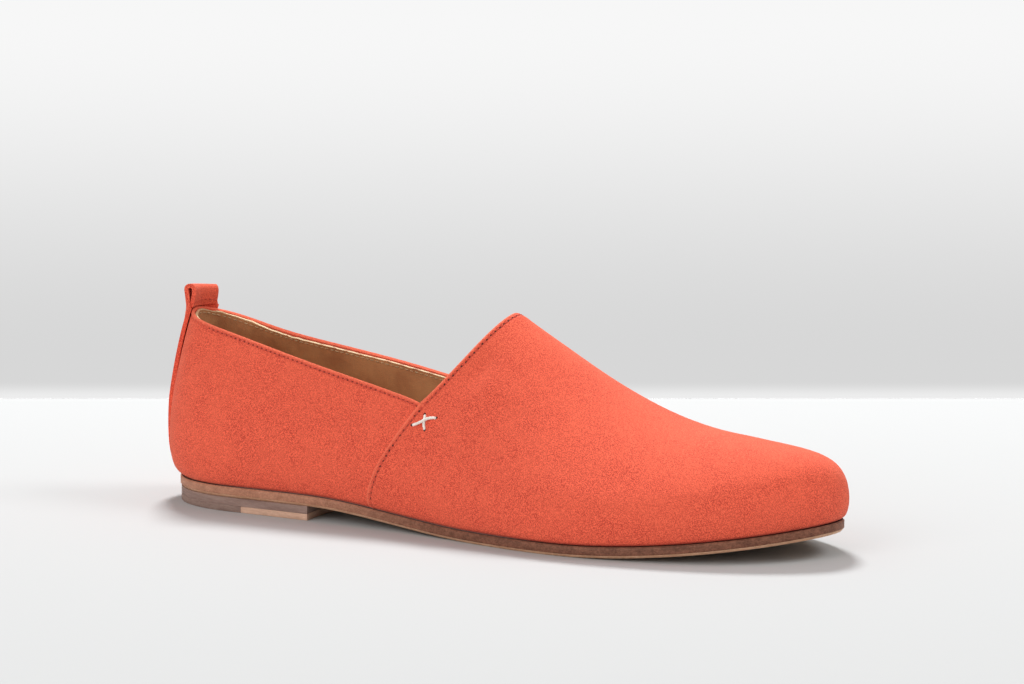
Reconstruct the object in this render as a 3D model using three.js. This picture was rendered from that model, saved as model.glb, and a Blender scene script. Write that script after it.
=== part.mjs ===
// A suede slip-on shoe for the right foot, cut low like an espadrille, on a thin leather sole with a low heel.
// Millimetres, +Z up, the toe towards +X and the inner side of the foot towards +Y. Everything is worked out from
// the back of the sole at floor level, and the finished shoe is then moved to lie over its own middle.
import * as THREE from "three";

// Sole, seen from above and from the side
const soleLength = 301;
const ballWidth = 101;
const soleThickness = 4.4;
const soleMargin = 1.2;
const toeSpring = 9.5;
const toeSpringBend = 1.9;
const waistBend = 0.84;
const treadStart = 170;
const treadEnd = 204;
const edgeBevel = 1.1;
const edgeRound = 0.5;

// Stacked heel under the sole
const liftThickness = 3.2;
const topPieceThickness = 2.7;
const heelLength = 81;
const heelInset = 0.4;
const breastHollow = 4;
const tipJoint = 47;

// Last and upper: how far it stands out past the sole, and how the back curve leans forward above its widest line
const instepHeight = 80;
const heelOverhang = 6;
const toeOverhang = 2.2;
const heelLean = 9.2;
const heelLeanBend = 1.3;
const tuckBend = 3.2;
const wall = 2.4;
const seamGap = 0.3;

// The vamp laps over the quarter, and is level with it again a little further on
const vampLap = 0.8;
const lapStep = 0.5;
const lapFade = 16;

// Collar and side seam, as seen from the side
const collarBack = 79.5;
const outerSag = 1.2;
const innerSag = 2.2;
const sagBend = 0.65;
const notchReach = 132;
const notchHeight = 51.5;
const throatReach = 157;
const vampBend = 0.9;
const seamFoot = 110;
const seamBend = 1.2;

// Insole
const insoleThickness = 2.6;
const insoleGap = 0.4;

// Heel strap and its loop
const strapWidth = 19;
const strapThickness = 1.8;
const strapFoot = 1.5;
const loopHeight = 9.5;
const loopGap = 1.6;
const loopFlattening = 0.45;

// Half widths and sideways swing of the sole: at is a share of its length, the rest of the ball width
const outline = [
  { at: 0.0, swing: 0.0, half: 0.0 },
  { at: 0.05, swing: 0.0, half: 0.24 },
  { at: 0.1, swing: 0.002, half: 0.298 },
  { at: 0.17, swing: -0.002, half: 0.322 },
  { at: 0.25, swing: -0.012, half: 0.323 },
  { at: 0.34, swing: -0.032, half: 0.315 },
  { at: 0.43, swing: -0.046, half: 0.33 },
  { at: 0.53, swing: -0.042, half: 0.388 },
  { at: 0.63, swing: -0.02, half: 0.462 },
  { at: 0.71, swing: 0.002, half: 0.494 },
  { at: 0.79, swing: 0.016, half: 0.47 },
  { at: 0.87, swing: 0.026, half: 0.398 },
  { at: 0.93, swing: 0.032, half: 0.302 },
  { at: 0.975, swing: 0.037, half: 0.18 },
  { at: 1.0, swing: 0.04, half: 0.0 },
];

// Sections of the last along its length. widest and roof are the heights of its widest line and of its crest over
// the sole, as shares of the instep height. swell is how much wider than the sole it is at the widest line. side and
// ease shape the curve from there up to the crest: a low ease keeps it straight, like a gable. ridge is the crest's
// sideways place, a share of the ball width. The roof's shares are those of a last with its throat at throatShare
const throatShare = 0.5272;
const sections = [
  { at: 0.0, widest: 0.29, roof: 1.6, swell: 0.03, side: 2.0, ease: 0.5, ridge: 0.0 },
  { at: 0.05, widest: 0.285, roof: 1.18, swell: 0.04, side: 2.0, ease: 0.4, ridge: 0.0 },
  { at: 0.12, widest: 0.28, roof: 0.94, swell: 0.05, side: 2.0, ease: 0.3, ridge: 0.0 },
  { at: 0.25, widest: 0.25, roof: 0.89, swell: 0.06, side: 1.9, ease: 0.2, ridge: 0.005 },
  { at: 0.38, widest: 0.22, roof: 0.92, swell: 0.05, side: 1.8, ease: 0.2, ridge: 0.015 },
  { at: 0.46, widest: 0.2, roof: 0.99, swell: 0.04, side: 1.75, ease: 0.15, ridge: 0.02 },
  { at: 0.52, widest: 0.18, roof: 1.018, swell: 0.035, side: 1.75, ease: 0.15, ridge: 0.03 },
  { at: 0.58, widest: 0.165, roof: 0.901, swell: 0.03, side: 1.8, ease: 0.15, ridge: 0.035 },
  { at: 0.64, widest: 0.15, roof: 0.759, swell: 0.02, side: 1.85, ease: 0.2, ridge: 0.038 },
  { at: 0.7, widest: 0.14, roof: 0.637, swell: 0.02, side: 1.9, ease: 0.3, ridge: 0.038 },
  { at: 0.76, widest: 0.135, roof: 0.536, swell: 0.02, side: 2.0, ease: 0.4, ridge: 0.038 },
  { at: 0.82, widest: 0.13, roof: 0.469, swell: 0.02, side: 2.1, ease: 0.6, ridge: 0.038 },
  { at: 0.88, widest: 0.125, roof: 0.422, swell: 0.02, side: 2.2, ease: 0.9, ridge: 0.038 },
  { at: 0.93, widest: 0.12, roof: 0.38, swell: 0.015, side: 2.2, ease: 1.2, ridge: 0.038 },
  { at: 0.97, widest: 0.115, roof: 0.322, swell: 0.01, side: 2.2, ease: 1.5, ridge: 0.039 },
  { at: 0.99, widest: 0.115, roof: 0.245, swell: 0.005, side: 2.2, ease: 1.5, ridge: 0.04 },
  { at: 1.0, widest: 0.115, roof: 0.115, swell: 0.0, side: 2.2, ease: 1.5, ridge: 0.04 },
];

// Fineness of the meshes: columns along the sole and along each side of quarter and vamp, rows as shares of the
// height under the widest line and of the wall above it, and points across the strap. Then how closely the places
// on the curves are searched, and the spans over which slopes are taken
const soleColumns = 40;
const breastColumns = 8;
const quarterColumns = 14;
const vampColumns = 24;
const vampCrowding = 1.5;
const rowPull = 1.5;
const tuckRows = [0, 0.06, 0.2, 0.45, 0.72];
const wallRows = [0, 0.07, 0.14, 0.21, 0.28, 0.34, 0.4, 0.46, 0.53, 0.61, 0.7, 0.8, 0.9, 0.965, 1];
const strapRows = 14;
const legRows = 3;
const bendRows = 6;
const strapAcross = 7;
const slopeSpan = 0.5;
const heelShare = 0.1;
const halvings = 40;
const settlings = 30;
const nudge = 1e-4;
const tiny = 1e-6;

const heelHeight = liftThickness + topPieceThickness;
const mix = THREE.MathUtils.lerp;
const clamp = THREE.MathUtils.clamp;
const smoothstep = THREE.MathUtils.smoothstep;

// The last x or share for which a falling function is still above a level
function lastAbove(fall, level, low, high) {
  for (let step = 0; step < halvings; step++) {
    const middle = (low + high) / 2;
    if (fall(middle) > level) low = middle;
    else high = middle;
  }
  return high;
}

// Where a share of the length lies on a scale that opens out at both ends, so that ends come out round
const rounded = (share) => Math.acos(1 - 2 * clamp(share, 0, 1)) / Math.PI;
const unrounded = (turn) => (1 - Math.cos(Math.PI * turn)) / 2;

// A smooth curve through one column of a table
function smooth(rows, name) {
  const places = rows.map((row) => rounded(row.at));
  const values = rows.map((row) => row[name]);
  const through = new THREE.CubicInterpolant(places, values, 1);
  return (share) => through.evaluate(rounded(share))[0];
}

const swing = smooth(outline, "swing");
const half = smooth(outline, "half");
const widest = smooth(sections, "widest");
const roof = smooth(sections, "roof");
const swell = smooth(sections, "swell");
const side = smooth(sections, "side");
const ease = smooth(sections, "ease");
const ridge = smooth(sections, "ridge");

// Underside of the outsole: level over the heel, down through the waist, flat at the tread, then the toe spring
function soleBottom(x) {
  if (x < heelLength) return heelHeight;
  if (x < treadStart) {
    const down = ((x - heelLength) / (treadStart - heelLength)) ** waistBend;
    return heelHeight * (0.5 + 0.5 * Math.cos(Math.PI * down));
  }
  if (x < treadEnd) return 0;
  return toeSpring * ((x - treadEnd) / (soleLength - treadEnd)) ** toeSpringBend;
}
const soleTop = (x) => soleBottom(clamp(x, 0, soleLength)) + soleThickness;

// A point of the sole's outline moved inwards by a margin: hand is -1 on the outer side and 1 on the inner side
function edgePoint(hand, share, margin) {
  const at = (turn) => {
    const along = unrounded(Math.abs(turn));
    const across = swing(along) + Math.sign(turn) * hand * half(along);
    return new THREE.Vector2(soleLength * along, ballWidth * across);
  };
  const turn = clamp(rounded(share), nudge, 1 - nudge);
  const along = at(turn + nudge).sub(at(turn - nudge)).normalize();
  return at(rounded(share)).add(new THREE.Vector2(-along.y, along.x).multiplyScalar(-hand * margin));
}

// Ends of the upper's widest line, and height of the crest above that line
const backEnd = -heelOverhang;
const frontEnd = soleLength + toeOverhang;
const shareOf = (x) => (x - backEnd) / (frontEnd - backEnd);
const widestAt = (x) => soleTop(x) + instepHeight * widest(shareOf(x));
const riseOf = (x, z) => z - widestAt(x);

// Share of the roof's table for a share of the last, so that the crest follows the throat's place
function roofShare(share) {
  const throat = shareOf(throatReach);
  if (share < throat) return (share * throatShare) / throat;
  return 1 - ((1 - share) * (1 - throatShare)) / (1 - throat);
}
const crestAbove = (share) => instepHeight * Math.max(roof(roofShare(share)) - widest(share), 0);

// How far the back curve and the crest have come in at a height above the widest line
const backWall = collarBack - widestAt(0);
const backAt = (rise) => backEnd + heelLean * (Math.max(rise, 0) / backWall) ** heelLeanBend;
const frontAt = (rise) => mix(backEnd, frontEnd, lastAbove(crestAbove, rise, shareOf(throatReach), 1));

// A point of the last above its widest line
function wallPoint(hand, x, rise) {
  const back = backAt(rise);
  const share = (x - back) / (frontEnd - back);
  const full = shareOf(x);
  const up = clamp(rise / Math.max(crestAbove(full), tiny), 0, 1);
  const closing = ((1 + ease(full)) * up ** 2) / (up + ease(full));
  const across = half(share) * (1 + swell(full)) * Math.max(1 - closing, 0) ** (1 / side(full));
  const y = ballWidth * (mix(swing(share), ridge(full), up) + hand * across);
  return new THREE.Vector3(x, y, widestAt(x) + rise);
}

// A point of the last below its widest line, where tuck runs from 0 at the feather edge to 1 at the widest line
const inwardOf = (tuck) => 1 - Math.sqrt(1 - (1 - tuck) ** tuckBend);
function tuckPoint(hand, share, tuck) {
  const inward = inwardOf(tuck);
  const wide = new THREE.Vector2(
    mix(backEnd, frontEnd, share),
    ballWidth * (swing(share) + hand * half(share) * (1 + swell(share))),
  );
  const place = wide.lerp(edgePoint(hand, share, soleMargin), inward);
  const z = mix(soleTop(place.x) + seamGap, widestAt(place.x), tuck);
  return new THREE.Vector3(place.x, place.y, z);
}

// Collar from the side, where the topline falls to the notch and sags a little, more so on the inner side, and side
// seam by the share of its own height
const notchRise = riseOf(notchReach, notchHeight);
const throatRise = crestAbove(shareOf(throatReach));
function topline(hand, x) {
  const along = clamp((x - backEnd - heelLean) / (notchReach - backEnd - heelLean), 0, 1);
  const sag = hand > 0 ? innerSag : outerSag;
  const low = along ** sagBend;
  return mix(collarBack, notchHeight, along) - 4 * sag * low * (1 - low);
}
const seamAt = (climb) => mix(seamFoot, notchReach, climb ** seamBend);
const seamLow = widestAt(seamFoot) - soleTop(seamFoot);

// Columns of the quarter and of the vamp: within runs from 0 at the seam to 1 at the back or at the crest
function quarterColumn(hand, within) {
  const across = (rise, seam) => mix(seam, backAt(rise), within);
  let top = riseOf(across(backWall, notchReach), collarBack);
  for (let step = 0; step < settlings; step++) {
    const x = across(top, notchReach);
    top = riseOf(x, topline(hand, x));
  }
  return column(hand, top, (row, rise, seam) => across(rise, seam), (seam) => mix(seam, 0, within));
}

function vampColumn(hand, within, ahead) {
  const up = Math.sin((within * Math.PI) / 2);
  const top = mix(notchRise, throatRise, up);
  const edge = mix(notchReach, throatReach, up ** vampBend);
  const front = frontAt(top);
  const atTop = clamp((edge - notchReach) / (front - notchReach), 0, 1);
  const reach = (row, rise, seam) => mix(seam, frontAt(rise), mix(within, atTop, row ** rowPull)) + ahead;
  const share = (seam) => mix(seam, 1, within) + ahead / soleLength;
  return column(hand, top, reach, share);
}

// One column of the upper from the feather edge up to the collar
function column(hand, top, reach, share) {
  const points = [];
  for (const tuck of tuckRows) {
    const seam = shareOf(seamAt((tuck * seamLow) / (seamLow + notchRise)));
    points.push(tuckPoint(hand, share(seam), tuck));
  }
  for (const row of wallRows) {
    const climb = (seamLow + row * notchRise) / (seamLow + notchRise);
    points.push(wallPoint(hand, reach(row, top * row, seamAt(climb)), top * row));
  }
  return points;
}

// Columns all round, out along the outer side from the back to the crest, and back along the inner side. The seam
// has two columns a step apart, and the vamp's stands higher
function upperColumns() {
  const list = [];
  for (let i = 0; i <= quarterColumns; i++) {
    const within = Math.cos((i / quarterColumns) * Math.PI * 0.5);
    list.push({ make: (hand) => quarterColumn(hand, within), away: Infinity });
  }
  for (let i = 0; i <= vampColumns; i++) {
    const within = 1 - (1 - i / vampColumns) ** vampCrowding;
    const ahead = i === 0 ? lapStep : 0;
    list.push({ make: (hand) => vampColumn(hand, within, ahead), away: within * (frontEnd - seamFoot) });
  }
  const lapped = list.map(({ make, away }) => ({ make, lap: vampLap * (1 - smoothstep(away, 0, lapFade)) }));
  const outer = lapped.map(({ make, lap }) => ({ points: make(-1), lap }));
  const inner = lapped.slice(1, -1).map(({ make, lap }) => ({ points: make(1), lap }));
  return [...outer, ...inner.reverse()];
}

// A closed skin through rings of equal length, joined all round; the last ring joins the first
function hoop(rings) {
  const count = rings[0].length;
  const position = rings.flat().flatMap((p) => [p.x, p.y, p.z]);
  const index = [];
  rings.forEach((ring, r) => {
    const next = (r + 1) % rings.length;
    for (let i = 0; i < count; i++) {
      const j = (i + 1) % count;
      const [a, b, c, d] = [r * count + i, r * count + j, next * count + j, next * count + i];
      index.push(a, b, c, a, c, d);
    }
  });
  const geometry = new THREE.BufferGeometry();
  geometry.setAttribute("position", new THREE.Float32BufferAttribute(position, 3));
  geometry.setIndex(index);
  return geometry;
}

// A closed skin through rings of equal length, capped at both ends by strips across from side to side
function plug(rings) {
  const geometry = hoop(rings);
  const count = rings[0].length;
  const walls = Array.from(geometry.index.array).slice(0, (rings.length - 1) * count * 6);
  const last = (rings.length - 1) * count;
  for (let i = 0; i < count / 2; i++) {
    const [a, b, c, d] = [i, i + 1, count - 1 - i, (count - i) % count];
    for (const [p, q, r] of [[a, c, b], [a, d, c]]) {
      if (p === q || q === r || r === p) continue;
      walls.push(p, q, r, last + p, last + r, last + q);
    }
  }
  geometry.setIndex(walls);
  return geometry;
}

// Outward normals of a grid of rings
function normalsOf(rings) {
  return rings.map((ring, r) =>
    ring.map((point, i) => {
      const ahead = ring[(i + 1) % ring.length];
      const behind = ring[(i - 1 + ring.length) % ring.length];
      const above = rings[Math.min(r + 1, rings.length - 1)][i];
      const below = rings[Math.max(r - 1, 0)][i];
      const along = new THREE.Vector3().subVectors(ahead, behind);
      const up = new THREE.Vector3().subVectors(above, below);
      return along.cross(up).normalize();
    }),
  );
}

// The upper: its outer skin with the lap's step, and its inner skin a wall further in
function upperGeometry() {
  const columns = upperColumns();
  const rings = columns[0].points.map((_, row) => columns.map(({ points }) => points[row]));
  const normals = normalsOf(rings);
  const shift = (by, r, i) => rings[r][i].clone().addScaledVector(normals[r][i], by(r, i));
  const moved = (by) => rings.map((ring, r) => ring.map((_, i) => shift(by, r, i)));
  const low = (row) => (row < tuckRows.length ? 1 - inwardOf(tuckRows[row]) : 1);
  const skin = moved((row, i) => columns[i].lap * low(row));
  const lining = moved(() => -wall);
  return hoop([...skin, ...lining.reverse()]);
}

// Shares of the sole's length, evenly spread on the rounded scale between the places where its profile changes
function soleShares() {
  const stops = [0, heelLength, treadStart, treadEnd, soleLength].map((x) => rounded(x / soleLength));
  const shares = [0];
  for (let s = 1; s < stops.length; s++) {
    const steps = Math.round((stops[s] - stops[s - 1]) * soleColumns);
    for (let i = 1; i <= steps; i++) shares.push(unrounded(mix(stops[s - 1], stops[s], i / steps)));
  }
  return shares;
}

// The sole's outline with a margin taken off, at a height given for each x
function soleRing(margin, heightAt) {
  const shares = soleShares();
  const outer = shares.map((share) => edgePoint(-1, share, margin));
  const inner = shares.slice(1, -1).reverse().map((share) => edgePoint(1, share, margin));
  return [...outer, ...inner].map((p) => new THREE.Vector3(p.x, p.y, heightAt(p.x)));
}

function outsoleGeometry() {
  return plug([
    soleRing(edgeBevel, soleBottom),
    soleRing(0, (x) => soleBottom(x) + edgeBevel),
    soleRing(0, (x) => soleTop(x) - edgeRound),
    soleRing(edgeRound, soleTop),
  ]);
}

function insoleGeometry() {
  const margin = soleMargin + wall + insoleGap;
  const underside = (x) => soleTop(x) + seamGap;
  return plug([
    soleRing(margin, underside),
    soleRing(margin, (x) => underside(x) + insoleThickness - edgeRound),
    soleRing(margin + edgeRound, (x) => underside(x) + insoleThickness),
  ]);
}

// A slice of the stacked heel from one x to another; its front may be hollowed like the heel's breast
function heelSlice(from, to, hollow, thickness) {
  const first = rounded(from / soleLength);
  const last = rounded(to / soleLength);
  const steps = Math.ceil((last - first) * soleColumns);
  const shares = Array.from({ length: steps + 1 }, (_, i) => unrounded(mix(first, last, i / steps)));
  const outer = shares.map((share) => edgePoint(-1, share, heelInset));
  const inner = shares.map((share) => edgePoint(1, share, heelInset));
  const bays = hollow > 0 ? breastColumns : 1;
  const front = [];
  for (let i = 1; i < bays; i++) {
    const across = (2 * i) / bays - 1;
    const y = mix(outer[steps].y, inner[steps].y, i / bays);
    front.push(new THREE.Vector2(outer[steps].x - hollow * (1 - across ** 2), y));
  }
  const back = from > 0 ? inner : inner.slice(1);
  const shape = new THREE.Shape([...outer, ...front, ...back.reverse()]);
  return new THREE.ExtrudeGeometry(shape, { depth: thickness, bevelEnabled: false });
}

// Where the heel's back lies at a height and a distance to the inner side
function heelBack(z, y) {
  const hand = y < 0 ? -1 : 1;
  const rise = riseOf(0, z);
  const feather = soleTop(0) + seamGap;
  const tuck = clamp((z - feather) / (widestAt(0) - feather), 0, 1);
  const low = (share) => tuckPoint(hand, share, tuck);
  const high = (share) => wallPoint(hand, mix(backAt(rise), frontEnd, share), rise);
  const point = rise > 0 ? high : low;
  if (y === 0) return point(0).x;
  return point(lastAbove((share) => hand * (y - point(share).y), 0, 0, heelShare)).x;
}

// Side view of the strap above the collar: it goes up behind, turns over and comes down to the rim. Each row has its
// distance out from the upper, its height over the collar, the way that its outer face looks, and how much of the
// heel's curve it still has from edge to edge
function loopPath() {
  const outside = seamGap + strapThickness / 2;
  const bend = (loopGap + strapThickness) / 2;
  const shoulder = loopHeight - strapThickness / 2 - bend;
  const flat = 1 - loopFlattening;
  const rows = [];
  for (let i = 1; i <= legRows; i++) {
    const up = i / legRows;
    rows.push({ out: outside, height: shoulder * up, face: 0, bow: mix(1, flat, up) });
  }
  for (let i = 1; i < bendRows; i++) {
    const turn = (Math.PI * i) / bendRows;
    rows.push({
      out: outside - bend + bend * Math.cos(turn),
      height: shoulder + bend * Math.sin(turn),
      face: turn,
      bow: flat,
    });
  }
  for (let i = 0; i <= legRows; i++) {
    const down = i / legRows;
    const closed = (wall - strapThickness) / 2 + seamGap;
    const gap = mix(loopGap, closed, down ** 2);
    rows.push({
      out: outside - strapThickness - gap,
      height: mix(shoulder, seamGap, down),
      face: Math.PI,
      bow: flat,
    });
  }
  return rows;
}

// The strap lies on the heel from just above the sole to the collar and ends in the loop, one band all the way
function strapGeometry() {
  const foot = soleTop(0) + strapFoot;
  const rows = [];
  for (let i = 0; i <= strapRows; i++) {
    const z = mix(foot, collarBack, unrounded(i / strapRows));
    rows.push({ z, out: seamGap + strapThickness / 2, face: 0, bow: 1 });
  }
  for (const { out, height, face, bow } of loopPath()) rows.push({ z: collarBack + height, out, face, bow });
  return plug(rows.map(strapRing).reverse());
}

function strapRing({ z, out, face, bow }) {
  const level = Math.min(z, collarBack);
  const spine = heelBack(level, 0);
  const xAt = (y) => spine + bow * (heelBack(level, y) - spine);
  const section = (across, thick) => {
    const y = (across * strapWidth) / 2;
    const slope = (xAt(y + slopeSpan / 2) - xAt(y - slopeSpan / 2)) / slopeSpan;
    const outward = new THREE.Vector2(-1, slope).normalize();
    const away = out + thick * Math.cos(face);
    return new THREE.Vector3(xAt(y) + outward.x * away, y + outward.y * away, z + thick * Math.sin(face));
  };
  const across = Array.from({ length: strapAcross }, (_, i) => (2 * i) / (strapAcross - 1) - 1);
  const outer = across.map((place) => section(place, strapThickness / 2));
  const inner = across.map((place) => section(place, -strapThickness / 2)).reverse();
  return [section(-1, 0), ...outer, section(1, 0), ...inner];
}

function named(name, geometry, colour, roughness, height = 0) {
  const material = new THREE.MeshStandardMaterial({ color: colour, roughness, metalness: 0 });
  const mesh = new THREE.Mesh(geometry, material);
  mesh.name = name;
  mesh.position.z = height;
  return mesh;
}

const shoe = new THREE.Group();
shoe.add(named("upper", upperGeometry(), 0xe2583e, 0.95));
shoe.add(named("outsole", outsoleGeometry(), 0x8a6a56, 0.7));
shoe.add(named("insole", insoleGeometry(), 0xb0865a, 0.6));
const lift = heelSlice(0, heelLength, breastHollow, liftThickness);
shoe.add(named("heel_lift", lift, 0x7c6c64, 0.75, topPieceThickness));
shoe.add(named("top_piece_rubber", heelSlice(0, tipJoint, 0, topPieceThickness), 0x776a63, 0.85));
const tip = heelSlice(tipJoint, heelLength, breastHollow, topPieceThickness);
shoe.add(named("top_piece_leather", tip, 0xb98a66, 0.7));
shoe.add(named("heel_strap", strapGeometry(), 0xdd553c, 0.95));

const middle = new THREE.Box3().setFromObject(shoe).getCenter(new THREE.Vector3());
shoe.position.set(-middle.x, -middle.y, 0);

export default shoe;
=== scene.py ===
import math
import random
import bmesh
import bpy
from mathutils import Matrix, Vector, noise
from mathutils.bvhtree import BVHTree
from mathutils.kdtree import KDTree


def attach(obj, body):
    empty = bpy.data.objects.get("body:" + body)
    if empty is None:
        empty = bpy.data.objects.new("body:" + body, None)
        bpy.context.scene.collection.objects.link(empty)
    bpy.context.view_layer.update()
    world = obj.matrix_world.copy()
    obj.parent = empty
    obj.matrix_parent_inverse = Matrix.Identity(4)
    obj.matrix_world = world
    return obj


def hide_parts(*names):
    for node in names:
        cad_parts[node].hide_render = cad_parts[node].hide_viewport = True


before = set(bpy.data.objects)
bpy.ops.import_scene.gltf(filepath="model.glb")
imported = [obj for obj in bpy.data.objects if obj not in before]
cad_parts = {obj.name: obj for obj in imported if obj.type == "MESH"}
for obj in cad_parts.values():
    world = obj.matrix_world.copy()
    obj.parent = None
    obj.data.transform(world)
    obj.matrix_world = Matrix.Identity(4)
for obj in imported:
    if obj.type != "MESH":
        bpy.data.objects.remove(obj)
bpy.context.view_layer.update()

mm = 0.001
random.seed(7)
print("frame loaded")

# The photograph's viewpoint, fitted to the shoe's outline
viewpoint = {
    "azimuth": 31.5,
    "elevation": 8.467,
    "distance": 1.5,
    "aim": (2.449 * mm, -0.323 * mm, 38.0 * mm),
    "lens": 131.457,
    "pan": -0.2427,  # degrees to the left
    "tilt": 1.3548,  # degrees up
}


def placeCamera(view):
    around = math.radians(view["azimuth"])
    rise = math.radians(view["elevation"])
    level = math.cos(rise)
    start = Vector((math.sin(around) * level, -math.cos(around) * level, math.sin(rise)))
    right = (-start).cross(Vector((0, 0, 1))).normalized()
    up = right.cross(-start)
    pan = Matrix.Rotation(math.radians(view["pan"]), 3, up)
    right = pan @ right
    tilt = Matrix.Rotation(math.radians(view["tilt"]), 3, right)
    looking = tilt @ (pan @ start)
    turn = Matrix((right, tilt @ up, looking)).transposed().to_4x4()
    data = bpy.data.cameras.new("camera")
    data.lens = view["lens"]
    data.sensor_width = 36
    data.clip_start = 0.05
    camera = bpy.data.objects.new("camera", data)
    camera.matrix_world = Matrix.Translation(Vector(view["aim"]) + start * view["distance"]) @ turn
    bpy.context.scene.collection.objects.link(camera)
    bpy.context.scene.camera = camera


placeCamera(viewpoint)
print("camera placed")


# Handling of pieces, as by hand: pick one, go into edit mode, pick parts of it, come back
def pickOnly(piece):
    bpy.ops.object.select_all(action="DESELECT")
    piece.select_set(True)
    bpy.context.view_layer.objects.active = piece


def startEdit(piece, kind="FACE"):
    pickOnly(piece)
    bpy.ops.object.mode_set(mode="EDIT")
    bpy.ops.mesh.select_mode(type=kind)
    bpy.ops.mesh.select_all(action="DESELECT")


def endEdit():
    bpy.ops.object.mode_set(mode="OBJECT")


def pickFaces(piece, test):
    startEdit(piece)
    endEdit()
    for face in piece.data.polygons:
        face.select = bool(test(face))
    bpy.ops.object.mode_set(mode="EDIT")


def pickEdges(piece, test):
    startEdit(piece, "EDGE")
    endEdit()
    for edge in piece.data.edges:
        edge.select = bool(test(edge))
    bpy.ops.object.mode_set(mode="EDIT")


def addModifier(piece, kind, **settings):
    modifier = piece.modifiers.new(kind.lower(), kind)
    for key, value in settings.items():
        setattr(modifier, key, value)
    if kind == "SUBSURF":
        modifier.render_levels = modifier.levels
    return modifier


def applyAll(piece):
    pickOnly(piece)
    for modifier in list(piece.modifiers):
        bpy.ops.object.modifier_apply(modifier=modifier.name)


def smooth(piece, degrees=40):
    pickOnly(piece)
    bpy.ops.object.shade_smooth_by_angle(angle=math.radians(degrees))


def mergedCopy(node, name):
    piece = bpy.data.objects.new(name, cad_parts[node].data.copy())
    piece.data.materials.clear()
    bpy.context.scene.collection.objects.link(piece)
    startEdit(piece)
    bpy.ops.mesh.select_all(action="SELECT")
    bpy.ops.mesh.remove_doubles(threshold=1e-6)
    endEdit()
    return piece


def joinAll(pieces, name, degrees):
    bpy.ops.object.select_all(action="DESELECT")
    for piece in pieces:
        piece.select_set(True)
    bpy.context.view_layer.objects.active = pieces[0]
    bpy.ops.object.join()
    joined = bpy.context.object
    joined.name = name
    smooth(joined, degrees)
    return joined


# From 0 to 1 as a value goes from low to high
def shareOf(value, low, high):
    return min(max((value - low) / (high - low), 0), 1)


def bell(value, middle, width):
    return math.exp(-(((value - middle) / width) ** 2))


# The upper's triangles have three edge directions in the same order round each one, so a walk from
# face to face tells the diagonals, and these are dissolved
def dissolveDiagonals(piece):
    mesh = bmesh.new()
    mesh.from_mesh(piece.data)
    mesh.faces.ensure_lookup_table()
    turns = {mesh.faces[0]: 0}
    waiting = [mesh.faces[0]]
    kinds = {}
    while waiting:
        face = waiting.pop()
        for step, loop in enumerate(face.loops):
            kind = (turns[face] + step) % 3
            kinds[loop.edge.index] = kind
            beside = loop.link_loop_radial_next
            if beside.face not in turns:
                turns[beside.face] = (kind - list(beside.face.loops).index(beside)) % 3
                waiting.append(beside.face)
    lengths = [0, 0, 0]
    for edge in mesh.edges:
        lengths[kinds[edge.index]] += edge.calc_length()
    longest = lengths.index(max(lengths))
    mesh.free()
    pickEdges(piece, lambda edge: kinds[edge.index] == longest)
    bpy.ops.mesh.dissolve_edges(use_verts=False)
    endEdit()


# Columns of the upper's corners: each runs up the outer skin to the collar, then down the inner one
def walkColumns(piece):
    mesh = bmesh.new()
    mesh.from_mesh(piece.data)

    def walk(first, edge):
        chain = [first]
        corner = edge.other_vert(first)
        while corner is not first:
            chain.append(corner)
            edge = next(e for e in corner.link_edges if not set(e.link_faces) & set(edge.link_faces))
            corner = edge.other_vert(corner)
        return chain

    back = min(mesh.verts, key=lambda corner: corner.co.x - abs(corner.co.y) * 0.01)
    rounds = [(walk(back, edge), edge) for edge in back.link_edges]
    level = max(rounds, key=lambda item: len(item[0]))
    towards = [item for item in rounds if len(item[0]) == len(level[0])]
    level = min(towards, key=lambda item: item[0][5].co.y)[0]
    climbing = [item for item in rounds if len(item[0]) != len(level)]
    climb = max(climbing, key=lambda item: item[0][1].co.z)[1]
    columns = []
    for corner in level:
        if columns:
            crossing = [edge for edge in corner.link_edges if set(edge.link_faces) & set(climb.link_faces)]
            climb = next(edge for edge in crossing if len(walk(corner, edge)) != len(level))
        columns.append(walk(corner, climb))
    places = [[corner.co.copy() for corner in column] for column in columns]
    numbers = [[corner.index for corner in column] for column in columns]
    mesh.free()
    return places, numbers


# The two rims are where the step from row to row has the same length all round: the wall's thickness
def findRims(places):
    count = len(places[0])
    spreads = []
    for row in range(count):
        steps = [(column[(row + 1) % count] - column[row]).length for column in places]
        mean = sum(steps) / len(steps)
        spread = sum((step - mean) ** 2 for step in steps) / len(steps) / mean ** 2
        height = sum(column[row].z for column in places) / len(places)
        spreads.append((spread, height, row))
    rims = sorted(spreads)[:2]
    foot, collar = sorted(rims, key=lambda item: item[1])
    return foot[2], collar[2]


# Where two neighbouring columns stand closest together, the vamp laps over a quarter
def findSeams(places, rows):
    gaps = []
    for column in range(len(places)):
        beside = (column + 1) % len(places)
        steps = [(places[beside][row] - places[column][row]).length for row in rows]
        gaps.append((sum(steps) / len(steps), column))
    first, second = sorted(column for gap, column in sorted(gaps)[:2])
    return first, second + 1


def rowsOf(places):
    foot, collar = findRims(places)
    count = len(places[0])
    outer = [(foot + 1 + step) % count for step in range((collar - foot) % count)]
    inner = [(foot - step) % count for step in range((foot - collar) % count)]
    return outer, inner


# Cuts across the strip between two neighbouring lines of corners
def cutStrip(piece, first, second, cuts):
    rungs = {frozenset(rung) for rung in zip(first, second)}
    pickEdges(piece, lambda edge: frozenset(edge.vertices) in rungs)
    bpy.ops.mesh.subdivide(number_cuts=cuts, smoothness=1)
    endEdit()


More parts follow.
